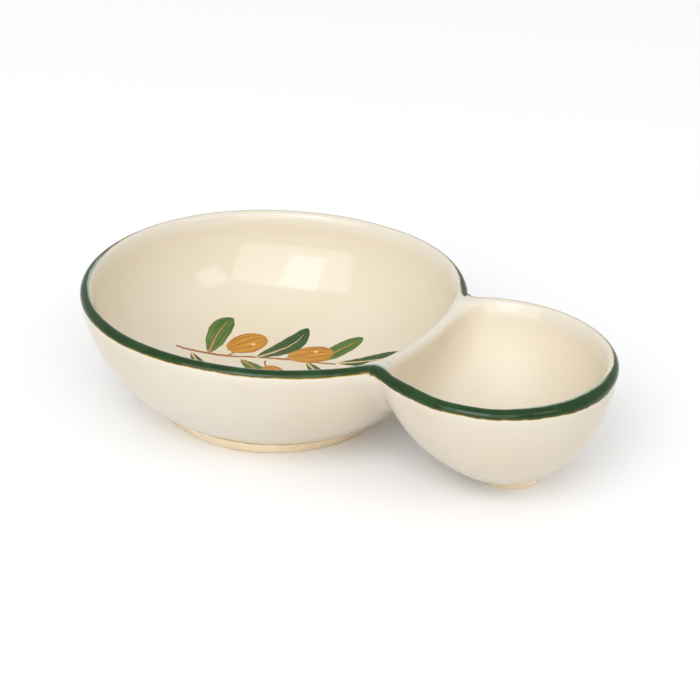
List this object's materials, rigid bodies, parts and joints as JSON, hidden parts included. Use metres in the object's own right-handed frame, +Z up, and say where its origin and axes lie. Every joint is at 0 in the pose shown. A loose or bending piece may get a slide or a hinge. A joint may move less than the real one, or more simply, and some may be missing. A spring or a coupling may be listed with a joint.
{
  "type": "olive dish",
  "caption": "Glazed ceramic double dish: a wide bowl for olives joined along a dividing wall to a smaller bowl for the pips, each on its own foot ring, with a coloured rim.",
  "frame": {"origin": "on the table under the middle of the dish's length and width", "axes": "+X along the dish from the olive bowl to the pip bowl, +Y across it, +Z up"},
  "size_m": [0.2, 0.138, 0.0465],
  "materials": {
    "cream_glaze": "glossy cream glaze, warmer where it is thick",
    "foot_glaze": "thin warm tan glaze over the clay",
    "green_glaze": "glossy dark green glaze with an ochre lower edge"
  },
  "bodies": {
    "root": {"olive_bowl": "cream_glaze", "pip_bowl": "cream_glaze", "divider": "cream_glaze", "olive_foot": "foot_glaze", "pip_foot": "foot_glaze", "olive_rim_band": "green_glaze", "pip_rim_band": "green_glaze"}
  },
  "joints": []
}
